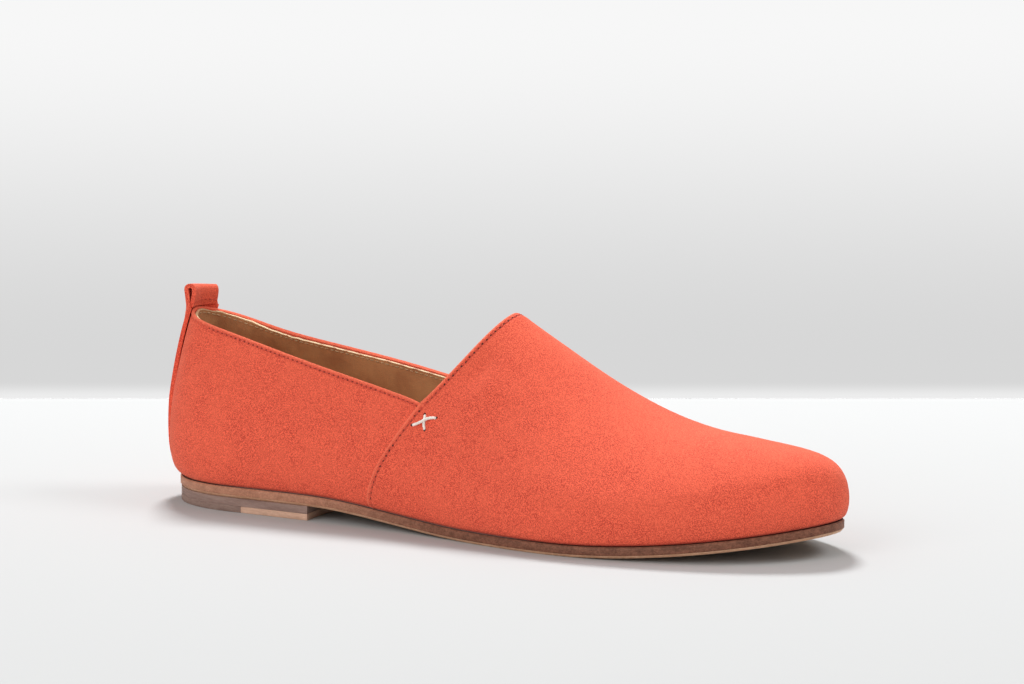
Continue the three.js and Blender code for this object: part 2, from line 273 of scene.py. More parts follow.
# The photo's far rim: a little higher before the notch and lower near the heel than the plain line
rimTrim = {
    "foot": 25 * mm,  # the wall stays as it is up to this height
    "full": 65 * mm,  # and has the whole change from here up
    "places": (  # x, half length and height in millimetres
        (-45.0, 26.0, 1.5),
        (-114.0, 24.0, -1.0),
    ),
}


def trimRim(piece, sizes):
    for vertex in piece.data.vertices:
        if vertex.co.y > 0:
            share = shareOf(vertex.co.z, sizes["foot"], sizes["full"])
            for x, length, height in sizes["places"]:
                vertex.co.z += height * mm * bell(vertex.co.x / mm, x, length) * share**2


# The heel is a little fuller low down than the plain last
heelTrim = {
    "front": -100 * mm,
    "rear": -148 * mm,
    "back": 1.3 * mm,
    "side": 0.05,  # share of the half width
    "low": 14 * mm,  # full up to this height
    "high": 36 * mm,  # none from here up
}


def squareHeel(piece, sizes):
    for vertex in piece.data.vertices:
        share = shareOf(-vertex.co.x, -sizes["front"], -sizes["rear"])
        low = 1 - shareOf(vertex.co.z, sizes["low"], sizes["high"])
        low = low * low * (3 - 2 * low)
        vertex.co.x -= sizes["back"] * share**2 * low
        vertex.co.y *= 1 + sizes["side"] * math.sin(math.pi * share**0.7) * low


upperCopy = mergedCopy("upper", "upperCopy")
squareHeel(upperCopy, heelTrim)
dissolveDiagonals(upperCopy)
for hand in (1, -1):  # finer beside the lap, for its stitches
    places, numbers = walkColumns(upperCopy)
    seams = findSeams(places, rowsOf(places)[0])
    beside = seams[0] + 1 if hand > 0 else seams[1] - 1
    cutStrip(upperCopy, numbers[beside], numbers[beside + hand], 2)
for skin in (0, 1):  # finer at the collar
    places, numbers = walkColumns(upperCopy)
    below, top = rowsOf(places)[skin][-2:]
    cutStrip(upperCopy, [column[below] for column in numbers], [column[top] for column in numbers], 1)
trimRim(upperCopy, rimTrim)
places, numbers = walkColumns(upperCopy)
outerRows, innerRows = rowsOf(places)
seamOut, seamIn = findSeams(places, outerRows)  # the quarters' last column, outside, and their first, inside
vampColumns = list(range(seamOut + 1, seamIn))
quarterColumns = list(range(seamIn, len(places))) + list(range(0, seamOut + 1))
print("upper read:", len(places), "columns,", len(outerRows), "rows, seams at", seamOut, seamIn)


# The edge of a subdivided sheet is the smooth line of its corners, and its end corners stay
def smoothEdge(corners, parts=10):
    chain = [2 * corners[0] - corners[1], *corners, 2 * corners[-1] - corners[-2]]
    line = []
    for a, b, c, d in zip(chain, chain[1:], chain[2:], chain[3:]):
        for step in range(parts):
            t = step / parts
            weights = ((1 - t) ** 3, 3 * t**3 - 6 * t**2 + 4, -3 * t**3 + 3 * t**2 + 3 * t + 1, t**3)
            line.append(sum((w * p for w, p in zip(weights, (a, b, c, d))), Vector()) / 6)
    return [*line, corners[-1].copy()]


def lengthsOf(line):
    runs = [0]
    for before, here in zip(line, line[1:]):
        runs.append(runs[-1] + (here - before).length)
    return runs


# Places along a line at an even pitch, each with the way that the line goes there
def evenPlaces(line, pitch, start=0, stop=None):
    runs = lengthsOf(line)
    stop = runs[-1] if stop is None else stop
    count = max(1, round((stop - start) / pitch))
    found = []
    spot = 0
    for step in range(count + 1):
        run = start + (stop - start) * step / count
        while spot < len(runs) - 2 and runs[spot + 1] < run:
            spot += 1
        share = (run - runs[spot]) / max(runs[spot + 1] - runs[spot], 1e-9)
        place = line[spot].lerp(line[spot + 1], shareOf(share, 0, 1))
        found.append((place, (line[spot + 1] - line[spot]).normalized()))
    return found


# A line on a sheet at a distance in from its edge
def insetLine(edge, tree, depth):
    line = []
    for before, here, after in zip(edge, edge[1:], edge[2:]):
        normal = tree.find_nearest(here)[1]
        side = normal.cross((after - before).normalized()) * depth
        guesses = [tree.find_nearest(here + side * hand) for hand in (1, -1)]
        line.append(min(guesses, key=lambda found: found[3])[0])
    for turn in range(12):
        middle = [(a + b * 2 + c) / 4 for a, b, c in zip(line, line[1:], line[2:])]
        line = [line[0], *middle, line[-1]]
    return [tree.find_nearest(place)[0] for place in line]


def skinTree(piece):
    corners = [vertex.co.copy() for vertex in piece.data.vertices]
    return BVHTree.FromPolygons(corners, [tuple(face.vertices) for face in piece.data.polygons])


# How far each corner of a sheet is from a line, and how far along the line that is, kept for the materials
def measureFrom(piece, line, awayName, runName=None):
    runs = lengthsOf(line)
    tree = KDTree(len(line))
    for number, place in enumerate(line):
        tree.insert(place, number)
    tree.balance()
    if runName:
        piece.data.attributes.new(runName, "FLOAT", "POINT")
    away = piece.data.attributes.new(awayName, "FLOAT", "POINT").data
    for vertex in piece.data.vertices:
        place, number, distance = tree.find(vertex.co)
        away[vertex.index].value = distance
        if runName:
            beside = min(max(number, 1), len(line) - 2)
            course = (line[beside + 1] - line[beside - 1]).normalized()
            run = runs[number] + (vertex.co - place).dot(course)
            piece.data.attributes[runName].data[vertex.index].value = run


# Soft troughs and ridges of the suede: middle, course, half length, half width and height, in millimetres
def pressFolds(piece, folds):
    normals = [vertex.normal.copy() for vertex in piece.data.vertices]
    for vertex, normal in zip(piece.data.vertices, normals):
        shift = 0
        for middle, course, length, width, height in folds:
            offset = vertex.co / mm - Vector(middle)
            way = Vector(course).normalized()
            along = offset.dot(way)
            across = (offset - way * along).length
            if across < 3 * width:
                shift += height * bell(along, 0, length) * bell(across, 0, width)
        vertex.co += normal * shift * mm


# Groove under the stitches and a fuller edge beside them
def pressStitches(piece, sizes, depth, roll):
    rowAway = piece.data.attributes["rowAway"].data
    edgeAway = piece.data.attributes["edgeAway"].data
    normals = [vertex.normal.copy() for vertex in piece.data.vertices]
    for vertex, normal in zip(piece.data.vertices, normals):
        away = rowAway[vertex.index].value
        edge = edgeAway[vertex.index].value
        sink = sizes["groove"] * bell(away, 0, sizes["grooveWidth"])
        rise = roll * bell(edge, sizes["rollMiddle"] * depth, sizes["rollWidth"] * depth)
        vertex.co += normal * (rise - sink)


def finishSheet(piece, thickness, rounding):
    addModifier(piece, "SOLIDIFY", thickness=thickness, offset=-1)
    limit = math.radians(55)
    addModifier(piece, "BEVEL", width=rounding, segments=3, limit_method="ANGLE", angle_limit=limit)
    applyAll(piece)
    smooth(piece, 60)


# The crease between the suede and the sole, measured for its painted shade
def measureSole(piece):
    sole = skinTree(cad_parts["outsole"])
    away = piece.data.attributes.new("soleAway", "FLOAT", "POINT").data
    for vertex in piece.data.vertices:
        away[vertex.index].value = sole.find_nearest(vertex.co)[3]


def keepSheet(name, columns, rows, moved):
    piece = bpy.data.objects.new(name, upperCopy.data.copy())
    bpy.context.scene.collection.objects.link(piece)
    for (column, row), place in moved.items():
        piece.data.vertices[numbers[column][row]].co = place
    keep = {numbers[column][row] for column in columns for row in rows}
    pickFaces(piece, lambda face: not all(corner in keep for corner in face.vertices))
    bpy.ops.mesh.delete(type="FACE")
    endEdit()
    addModifier(piece, "SUBSURF", levels=2, boundary_smooth="PRESERVE_CORNERS")
    applyAll(piece)
    return piece


upperSizes = {
    "suede": 1.25 * mm,
    "cutRounding": 0.35 * mm,
    "underlap": 3,  # vamp columns that the quarters go on under
    "underlapSink": 0.3 * mm,
    "underlapDrop": 1.6 * mm,  # keeps the quarters' corners below the vamp's edge
    "quarterDepth": 1.8 * mm,  # from the edge to the stitches
    "vampDepth": 1.95 * mm,
    "groove": 0.25 * mm,
    "grooveWidth": 0.7 * mm,
    "quarterRoll": 0.1 * mm,  # fullness between the stitches and the edge
    "vampRoll": 0.22 * mm,
    "rollMiddle": 0.45,  # shares of the depth of the stitches
    "rollWidth": 0.4,
    "cornerEase": 0.7,  # how far the vamp's corners at the notches are drawn into its edge
}
quarterFolds = [
    ((-127.7, -27.0, 64.0), (0.1, 0.0, 1.0), 9.0, 7.0, -0.5),
    ((-70.7, -34.0, 40.0), (1.0, 0.0, -0.25), 30.0, 8.0, -0.35),
    ((-52.7, -32.0, 50.0), (1.0, 0.0, -0.35), 20.0, 3.5, 0.22),
    ((-70.7, 31.0, 42.0), (1.0, 0.0, -0.2), 28.0, 8.0, -0.35),
]
vampFolds = [
    ((6.3, -21.0, 65.0), (0.45, 0.3, 0.85), 11.0, 5.5, -1.3),
    ((19.3, -22.0, 56.0), (0.95, 0.0, -0.3), 16.0, 5.0, 0.35),
    ((-6.7, -40.0, 20.0), (0.3, 0.0, 1.0), 10.0, 5.0, -0.5),
    ((8.3, 19.0, 64.0), (0.45, -0.3, 0.85), 11.0, 5.5, -0.8),
    ((69.3, -38.0, 28.0), (1.0, -0.1, -0.1), 26.0, 7.0, -0.3),
    ((94.3, 5.0, 50.0), (0.2, 1.0, 0.0), 22.0, 7.0, -0.35),
    ((111.3, 5.0, 46.0), (-0.15, 1.0, 0.0), 20.0, 5.0, 0.25),
]


# Measures, folds, groove and thickness of a suede sheet; gives its outer skin and stitch row too
def sewSheet(piece, edge, folds, depth, roll, sizes):
    row = insetLine(edge, skinTree(piece), depth)
    measureFrom(piece, edge, "edgeAway")
    measureFrom(piece, row, "rowAway", "rowRun")
    measureSole(piece)
    pressFolds(piece, folds)
    pressStitches(piece, sizes, depth, roll)
    tree = skinTree(piece)
    finishSheet(piece, sizes["suede"], sizes["cutRounding"])
    return piece, tree, row


def makeQuarters(sizes):
    front = [seamOut + 1 + step for step in range(sizes["underlap"])]
    rear = [seamIn - 1 - step for step in range(sizes["underlap"])]
    moved = {}
    for group in (front, rear):
        for far, column in enumerate(group):
            for level, (row, inner) in enumerate(zip(outerRows, innerRows)):
                wall = (places[column][row] - places[column][inner]).normalized()
                thick = (places[0][row] - places[0][inner]).length
                place = places[column][inner] + wall * (thick - sizes["underlapSink"] * far)
                place.z -= sizes["underlapDrop"] * (far + 1) * (level / (len(outerRows) - 1)) ** 10
                moved[column, row] = place
    columns = [*reversed(rear), *quarterColumns, *front]
    piece = keepSheet("quarters", columns, outerRows, moved)
    top = outerRows[-1]
    edge = smoothEdge([moved.get((column, top), places[column][top]) for column in columns])
    return sewSheet(piece, edge, quarterFolds, sizes["quarterDepth"], sizes["quarterRoll"], sizes)


def makeVamp(sizes):
    first, last = vampColumns[0], vampColumns[-1]
    top, below = outerRows[-1], outerRows[-2]
    moved = {}
    for column, beside in ((first, vampColumns[1]), (last, vampColumns[-2])):
        middle = (places[column][below] + places[beside][top]) / 2
        moved[column, top] = places[column][top].lerp(middle, sizes["cornerEase"])
    piece = keepSheet("vamp", vampColumns, outerRows, moved)
    edge = smoothEdge([moved.get((first, row), places[first][row]) for row in outerRows])
    edge += smoothEdge([moved.get((column, top), places[column][top]) for column in vampColumns])[1:]
    edge += smoothEdge([moved.get((last, row), places[last][row]) for row in reversed(outerRows)])[1:]
    return sewSheet(piece, edge, vampFolds, sizes["vampDepth"], sizes["vampRoll"], sizes)


liningSizes = {
    "thickness": 0.95 * mm,
    "drop": 0.45 * mm,  # the lining's edge stays this far below the suede's
    "rounding": 0.3 * mm,
    "rowDepth": 1.5 * mm,
    "tear": 0.55 * mm,  # how uneven the raw edge is
    "tearReach": 1.2 * mm,  # down from the edge
    "tearFront": -85 * mm,  # from here to the rear place the tear grows to its whole size
    "tearRear": -115 * mm,
    "tearLeast": 0.25,  # share of it in front of that
    "ripples": ((170, 1.0), (420, 0.6)),  # scale and share of each
}


def makeLining(sizes):
    columns = list(range(len(places)))
    top, below = innerRows[-1], innerRows[-2]
    moved = {}
    for column in columns:
        down = (places[column][below] - places[column][top]).normalized()
        moved[column, top] = places[column][top] + down * sizes["drop"]
    piece = keepSheet("lining", columns, innerRows, moved)
    ring = [moved[column, top] for column in [*columns[-2:], *columns, *columns[:3]]]
    edge = smoothEdge(ring)[20:-20]
    row = insetLine(edge, skinTree(piece), sizes["rowDepth"])
    measureFrom(piece, edge, "edgeAway")
    edgeAway = piece.data.attributes["edgeAway"].data
    for vertex in piece.data.vertices:
        near = bell(edgeAway[vertex.index].value, 0, sizes["tearReach"])
        back = shareOf(-vertex.co.x, -sizes["tearFront"], -sizes["tearRear"])
        ripple = sum(part * noise.noise(vertex.co * scale) for scale, part in sizes["ripples"])
        vertex.co.z += near * sizes["tear"] * ripple * (sizes["tearLeast"] + (1 - sizes["tearLeast"]) * back)
    tree = skinTree(piece)
    finishSheet(piece, sizes["thickness"], sizes["rounding"])
    return piece, tree, row


quarters, quarterTree, quarterRow = makeQuarters(upperSizes)
vamp, vampTree, vampRow = makeVamp(upperSizes)
lining, liningTree, liningRow = makeLining(liningSizes)
bpy.data.objects.remove(upperCopy)
print("quarters, vamp and lining made")


# Stitches: one hole and one thread are modelled, and copied along the rows
stitchSizes = {
    "pitch": 2.45 * mm,
    "holeLength": 1.0 * mm,
    "holeWidth": 0.75 * mm,
    "holeRise": 0.05 * mm,
    "holeRim": 0.12 * mm,
    "holeSlope": 0.1 * mm,
    "holeSink": 0.04 * mm,
    "thread": 0.27 * mm,  # half thickness
    "threadShort": 0.6 * mm,  # the threads seen are shorter than the pitch by this
    "threadSlim": 0.25,  # share by which their ends are narrower
    "threadSink": 0.3 * mm,  # and go into the suede
    "threadRise": 0.08 * mm,
    "innerShort": 0.5 * mm,  # those on the lining
    "innerRise": 0.1 * mm,
    "strapClear": 28 * mm,  # the quarters' stitches end this far from the heel's middle
    "notchClear": 1.2 * mm,
    "footClear": 5 * mm,
    "uneven": 0.1,  # share by which holes differ in size
    "wander": 0.07 * mm,
}


def makeHole(sizes):
    bpy.ops.object.select_all(action="DESELECT")
    bpy.ops.mesh.primitive_circle_add(vertices=10, radius=sizes["holeLength"] / 2, fill_type="NGON")
    hole = bpy.context.object
    startEdit(hole)
    bpy.ops.mesh.select_all(action="SELECT")
    bpy.ops.transform.resize(value=(1, sizes["holeWidth"] / sizes["holeLength"], 1))
    bpy.ops.mesh.extrude_region_move(TRANSFORM_OT_translate={"value": (0, 0, sizes["holeRise"])})
    bpy.ops.mesh.inset(thickness=sizes["holeRim"], depth=0)
    bpy.ops.mesh.inset(thickness=sizes["holeSlope"], depth=-sizes["holeSink"])
    endEdit()
    return hole


# A round bar along x, cut across in even steps
def makeBar(radius, length, cuts):
    bpy.ops.object.select_all(action="DESELECT")
    turned = (0, math.pi / 2, 0)
    bpy.ops.mesh.primitive_cylinder_add(vertices=8, radius=radius, depth=length, rotation=turned)
    bar = bpy.context.object
    bpy.ops.object.transform_apply()
    across = [vertex.co.x for vertex in bar.data.vertices]
    pickEdges(bar, lambda edge: abs(across[edge.vertices[0]] - across[edge.vertices[1]]) > length / 2)
    bpy.ops.mesh.subdivide(number_cuts=cuts)
    endEdit()
    return bar


def makeStitch(sizes, short, rise):
    length = sizes["pitch"] - short
    stitch = makeBar(sizes["thread"], length, 5)
    for vertex in stitch.data.vertices:
        share = abs(vertex.co.x) / (length / 2)
        vertex.co.z += rise - (rise + sizes["threadSink"]) * share**3
        vertex.co.y *= 1 - sizes["threadSlim"] * share**2
    return stitch


def layCopies(model, name, turns):
    copies = []
    for turn in turns:
        copy = bpy.data.objects.new(name, model.data.copy())
        copy.data.transform(turn)
        bpy.context.scene.collection.objects.link(copy)
        copies.append(copy)
    return joinAll(copies, name, 50)


# Turns that set a model on a sheet, its x along the row and its z out of the sheet
def turnsOn(tree, spots, uneven=0.0, wander=0.0):
    turns = []
    for place, course in spots:
        found, normal = tree.find_nearest(place)[:2]
        along = (course - normal * course.dot(normal)).normalized()
        across = normal.cross(along)
        turn = Matrix((along, across, normal)).transposed().to_4x4()
        aside = across * random.uniform(-wander, wander) + along * random.uniform(-wander, wander)
        size = Matrix.Scale(1 + random.uniform(-uneven, uneven), 4)
        turns.append(Matrix.Translation(found + aside) @ turn @ size)
    return turns


def between(spots):
    places = [place for place, course in spots]
    return [((a + b) / 2, (b - a).normalized()) for a, b in zip(places, places[1:])]


# Parts of the rows that carry stitches
def quarterSpots(sizes):
    runs = lengthsOf(quarterRow)
    seamPlace = places[seamOut][outerRows[-1]]
    farPlace = places[seamIn][outerRows[-1]]
    middle = min(range(len(quarterRow)), key=lambda spot: quarterRow[spot].x)
    first = min(range(len(quarterRow)), key=lambda spot: (quarterRow[spot] - farPlace).length)
    last = min(range(len(quarterRow)), key=lambda spot: (quarterRow[spot] - seamPlace).length)
    spans = (
        (runs[first] + sizes["notchClear"], runs[middle] - sizes["strapClear"]),
        (runs[middle] + sizes["strapClear"], runs[last] - sizes["notchClear"]),
    )
    return [evenPlaces(quarterRow, sizes["pitch"], start, stop) for start, stop in spans]


def makeStitches(sizes):
    hole = makeHole(sizes)
    stitch = makeStitch(sizes, sizes["threadShort"], sizes["threadRise"])
    innerStitch = makeStitch(sizes, sizes["innerShort"], sizes["innerRise"])
    total = lengthsOf(vampRow)[-1]
    vampSpots = evenPlaces(vampRow, sizes["pitch"], sizes["footClear"], total - sizes["footClear"])
    quarterLists = quarterSpots(sizes)
    rows = [(quarterTree, spots) for spots in quarterLists] + [(vampTree, vampSpots)]
    loose = (sizes["uneven"], sizes["wander"])
    made = [layCopies(hole, "vampHoles", turnsOn(vampTree, vampSpots, *loose))]
    turns = [turn for spots in quarterLists for turn in turnsOn(quarterTree, spots, *loose)]
    made.append(layCopies(hole, "quarterHoles", turns))
    turns = [turn for tree, spots in rows for turn in turnsOn(tree, between(spots))]
    made.append(layCopies(stitch, "coralStitches", turns))
    spots = between(evenPlaces(liningRow, sizes["pitch"]))
    made.append(layCopies(innerStitch, "liningStitches", turnsOn(liningTree, spots, *loose)))
    for model in (hole, stitch, innerStitch):
        bpy.data.objects.remove(model)
    return made


vampHoles, quarterHoles, coralStitches, liningStitches = makeStitches(stitchSizes)
print("stitches laid")


# A smooth copy of a solid whose own edges stay: they are creased before it is subdivided
def softenedCopy(node, name, sharp, levels=2, rounding=0):
    piece = mergedCopy(node, name)
    squareHeel(piece, heelTrim)
    startEdit(piece, "EDGE")
    bpy.ops.mesh.select_all(action="SELECT")
    bpy.ops.mesh.tris_convert_to_quads(face_threshold=math.pi, shape_threshold=math.pi)
    bpy.ops.mesh.select_all(action="DESELECT")
    bpy.ops.mesh.edges_select_sharp(sharpness=math.radians(sharp))
    bpy.ops.transform.edge_crease(value=1)
    endEdit()
    addModifier(piece, "SUBSURF", levels=levels)
    if rounding:
        limit = math.radians(50)
        addModifier(piece, "BEVEL", width=rounding, segments=2, limit_method="ANGLE", angle_limit=limit)
    applyAll(piece)
    smooth(piece, sharp)
    return piece


outsole = softenedCopy("outsole", "leatherSole", 25)
insole = softenedCopy("insole", "innerSole", 25)
lift = softenedCopy("heel_lift", "heelLift", 40, 1, 0.22 * mm)
rubberTip = softenedCopy("top_piece_rubber", "rubberTopPiece", 40, 1, 0.25 * mm)
leatherTip = softenedCopy("top_piece_leather", "leatherTopPiece", 40, 1, 0.25 * mm)
backStrap = softenedCopy("heel_strap", "backStrap", 60, 2, 0.3 * mm)

strapSizes = {
    "foot": 12 * mm,
    "footTop": 42 * mm,  # the strap thins from this height down to its foot
    "footThin": 0.35,
    "neck": 79.5 * mm,
    "loopRise": 7.5 * mm,  # the loop has its whole change of shape this far above the neck
    "level": 0.1,  # the loop's outer end stands higher than its inner one
    "legs": -144.1 * mm,  # x between the loop's back leg and its front leg
    "upright": 1.1 * mm,  # brings the loop's back over the neck
    "uprightFade": 2 * mm,
    "neckOut": 0.9 * mm,
    "neckReach": 3.2 * mm,
    "pinch": 0.55 * mm,  # the front leg's base is sewn against the back one
    "pinchMiddle": 0.5 * mm,
    "pinchWidth": 5.0 * mm,
    "pinchReach": 6.0 * mm,
    "sewAbove": 1.3 * mm,  # the stitches' height over the neck
    "sewHalf": 8,  # millimetres that they reach to each side
    "sewFront": -138 * mm,
    "sewBack": -150 * mm,
}


# The strap thins out towards the sole, and its loop stands upright with a level top and a pinched base
def shapeStrap(piece, sizes):
    for vertex in piece.data.vertices:
        place = vertex.co
        if place.z < sizes["footTop"]:
            share = shareOf(place.z, sizes["foot"], sizes["footTop"])
            skin = quarterTree.find_nearest(place)[0]
            keep = sizes["footThin"] + (1 - sizes["footThin"]) * share
            vertex.co = skin + (place - skin) * keep
        if place.x < sizes["legs"]:
            place.x -= sizes["neckOut"] * bell(place.z, sizes["neck"], sizes["neckReach"])
        if place.z > sizes["neck"]:
            share = shareOf(place.z, sizes["neck"], sizes["neck"] + sizes["loopRise"])
            rise = share * share * (3 - 2 * share)
            place.z -= place.y * sizes["level"] * rise
            if place.x < sizes["legs"]:
                place.x += sizes["upright"] * rise * min((sizes["legs"] - place.x) / sizes["uprightFade"], 1)
            else:
                low = max(1 - (place.z - sizes["neck"]) / sizes["pinchReach"], 0)
                middle = sizes["pinchMiddle"] * bell(place.y, 0, sizes["pinchWidth"])
                place.x -= (sizes["pinch"] + middle) * low


shapeStrap(backStrap, strapSizes)


# Stitches across the foot of the loop, at the front and at the back
def sewLoop(name, x, sizes):
    tree = skinTree(backStrap)
    stitch = makeStitch(stitchSizes, stitchSizes["threadShort"], stitchSizes["threadRise"])
    height = sizes["neck"] + sizes["sewAbove"]
    line = [Vector((x, side * mm, height)) for side in range(-sizes["sewHalf"], sizes["sewHalf"] + 1)]
    onStrap = [tree.find_nearest(place)[0] for place in line]
    spots = between(evenPlaces(onStrap, stitchSizes["pitch"]))
    sewn = layCopies(stitch, name, turnsOn(tree, spots))
    bpy.data.objects.remove(stitch)
    return sewn


loopStitches = [
    sewLoop("loopFrontStitches", strapSizes["sewFront"], strapSizes),
    sewLoop("loopBackStitches", strapSizes["sewBack"], strapSizes),
]
print("sole, heel and strap made")


# White cross of thick twisted thread beside the notch, on both sides
crossSizes = {
    "strand": 0.35 * mm,
    "twist": 0.27 * mm,  # from the thread's middle to a strand's
    "lay": 3.4 * mm,  # length of one turn
    "strands": 3,
    "sink": 0.7 * mm,
    "steps": 36,
    "arch": 0.45,  # less is a flatter top and steeper ends
    "side": 34,  # y near the upper's sides, in millimetres
    "bars": (  # x and z of both ends, height over the suede and sideways bow, in millimetres
        ((-12.2, 48.8), (-10.3, 41.7), 0.5, 0.15),
        ((-16.3, 43.3), (-6.5, 47.6), 1.15, -0.35),
    ),
    "hole": 1.6,  # size of the holes, in stitch holes
}


# A strand is a bar, and each ring of it is set square on its point of the course
def layStrand(points, radius):
    steps = len(points) - 1
    strand = makeBar(radius, steps * mm, steps - 1)
    courses = [points[min(k + 1, steps)] - points[max(k - 1, 0)] for k in range(steps + 1)]
    turns = [Vector((1, 0, 0)).rotation_difference(courses[0])]
    for before, after in zip(courses, courses[1:]):
        turns.append(before.rotation_difference(after) @ turns[-1])
    for vertex in strand.data.vertices:
        number = round(vertex.co.x / mm + steps / 2)
        vertex.co = points[number] + turns[number] @ Vector((0, vertex.co.y, vertex.co.z))
    return strand


def makeCross(name, hand, sizes):
    strands = []
    holeSpots = []
    for start, stop, height, bow in sizes["bars"]:
        guesses = [Vector((x, hand * sizes["side"], z)) * mm for x, z in (start, stop)]
        first, last = [vampTree.find_nearest(guess)[0] for guess in guesses]
        course = (last - first).normalized()
        holeSpots += [(first, course), (last, course)]
        for number in range(sizes["strands"]):
            points = []
            for step in range(sizes["steps"] + 1):
                share = step / sizes["steps"]
                skin, out = vampTree.find_nearest(first.lerp(last, share))[:2]
                arch = math.sin(math.pi * share) ** sizes["arch"]
                side = out.cross(course)
                middle = skin + out * (height * mm * arch - sizes["sink"] * (1 - arch))
                middle += side * bow * mm * math.sin(2 * math.pi * share)
                turn = (last - first).length * share / sizes["lay"] + number / sizes["strands"]
                turn *= 2 * math.pi
                points.append(middle + (out * math.cos(turn) + side * math.sin(turn)) * sizes["twist"])
            strands.append(layStrand(points, sizes["strand"]))
    return joinAll(strands, name, 60), holeSpots


def makeCrosses(sizes):
    crosses = []
    turns = []
    for name, hand in (("outerCross", -1), ("innerCross", 1)):
        cross, spots = makeCross(name, hand, sizes)
        crosses.append(cross)
        turns += [turn @ Matrix.Scale(sizes["hole"], 4) for turn in turnsOn(vampTree, spots)]
    hole = makeHole(stitchSizes)
    holes = layCopies(hole, "crossHoles", turns)
    bpy.data.objects.remove(hole)
    return crosses, holes


crosses, crossHoles = makeCrosses(crossSizes)
print("crosses made")


# Building blocks for the materials
def addNode(tree, kind, inputs=None, **settings):
    node = tree.nodes.new("ShaderNode" + kind)
    for key, value in settings.items():
        setattr(node, key, value)
    for key, value in (inputs or {}).items():
        if isinstance(value, bpy.types.NodeSocket):
            tree.links.new(value, node.inputs[key])
        else:
            node.inputs[key].default_value = value
    return node


def mixColours(tree, share, first, second):
    tones = [(*tone, 1) if isinstance(tone, tuple) else tone for tone in (first, second)]
    return addNode(tree, "Mix", {0: share, 6: tones[0], 7: tones[1]}, data_type="RGBA").outputs[2]


def compute(tree, operation, first, second=0.0):
    return addNode(tree, "Math", {0: first, 1: second}, operation=operation).outputs[0]


def weigh(tree, first, part, second):
    rest = compute(tree, "MULTIPLY", second, 1 - part)
    return compute(tree, "ADD", compute(tree, "MULTIPLY", first, part), rest)


def ease(tree, value, low, high, lowOut=0.0, highOut=1.0):
    inputs = {"Value": value, "From Min": low, "From Max": high, "To Min": lowOut, "To Max": highOut}
    return addNode(tree, "MapRange", inputs, interpolation_type="SMOOTHSTEP").outputs["Result"]


def noiseOf(tree, vector, scale, detail=2.0, rough=0.5, twist=0.0):
    inputs = {"Vector": vector, "Scale": scale, "Detail": detail, "Roughness": rough, "Distortion": twist}
    return addNode(tree, "TexNoise", inputs).outputs["Fac"]


def measureOf(tree, name):
    return addNode(tree, "Attribute", attribute_name=name).outputs["Fac"]


def startGroup(name, inputs, outputs):
    group = bpy.data.node_groups.new(name, "ShaderNodeTree")
    for label, kind, value in inputs:
        socket = group.interface.new_socket(label, in_out="INPUT", socket_type="NodeSocket" + kind)
        if value is not None:
            socket.default_value = value
    for label in outputs:
        group.interface.new_socket(label, in_out="OUTPUT", socket_type="NodeSocketFloat")
    return group, group.nodes.new("NodeGroupInput").outputs, group.nodes.new("NodeGroupOutput").inputs


def useGroup(tree, group, inputs):
    return addNode(tree, "Group", inputs, node_tree=group).outputs


def startMaterial(name, roughness, **constants):
    material = bpy.data.materials.new(name)
    material.use_nodes = True
    tree = material.node_tree
    shader = tree.nodes["Principled BSDF"]
    shader.inputs["Roughness"].default_value = roughness
    for label, value in constants.items():
        shader.inputs[label.replace("_", " ")].default_value = value
    return material, tree, shader, addNode(tree, "TexCoord").outputs["Object"]


def finishLook(tree, shader, colour, height, distance, strength):
    tree.links.new(colour, shader.inputs["Base Color"])
    bump = addNode(tree, "Bump", {"Height": height, "Distance": distance, "Strength": strength})
    tree.links.new(bump.outputs["Normal"], shader.inputs["Normal"])


# Nap: flecks of raised and flattened fibres, and the broad brushed patches of handled suede
def makeNapGroup():
    group, given, out = startGroup(
        "nap",
        [("Vector", "Vector", None), ("Fleck Scale", "Float", 2500.0), ("Patch Scale", "Float", 70.0)],
        ["Fleck", "Patch", "Height"],
    )
    fleck = noiseOf(group, given["Vector"], given["Fleck Scale"], 1.0, 0.5)
    broadScale = compute(group, "MULTIPLY", given["Fleck Scale"], 0.4)
    broad = noiseOf(group, given["Vector"], broadScale, 1.0, 0.5, 0.6)
    patch = noiseOf(group, given["Vector"], given["Patch Scale"], 2.0, 0.5, 0.9)
    both = weigh(group, fleck, 0.9, broad)
    group.links.new(ease(group, both, 0.38, 0.62), out["Fleck"])
    group.links.new(ease(group, patch, 0.3, 0.7), out["Patch"])
    group.links.new(both, out["Height"])
    return group


# Leather grain: small cells between creases, with a slow change of tone
def makeGrainGroup():
    group, given, out = startGroup(
        "leatherGrain",
        [("Vector", "Vector", None), ("Scale", "Float", 900.0)],
        ["Tone", "Height"],
    )
    placed = {"Vector": given["Vector"], "Scale": given["Scale"]}
    cells = addNode(group, "TexVoronoi", placed, feature="DISTANCE_TO_EDGE")
    crease = ease(group, cells.outputs["Distance"], 0.0, 0.14)
    slow = noiseOf(group, given["Vector"], compute(group, "MULTIPLY", given["Scale"], 0.06), 4.0, 0.6)
    group.links.new(ease(group, slow, 0.3, 0.7), out["Tone"])
    group.links.new(crease, out["Height"])
    return group


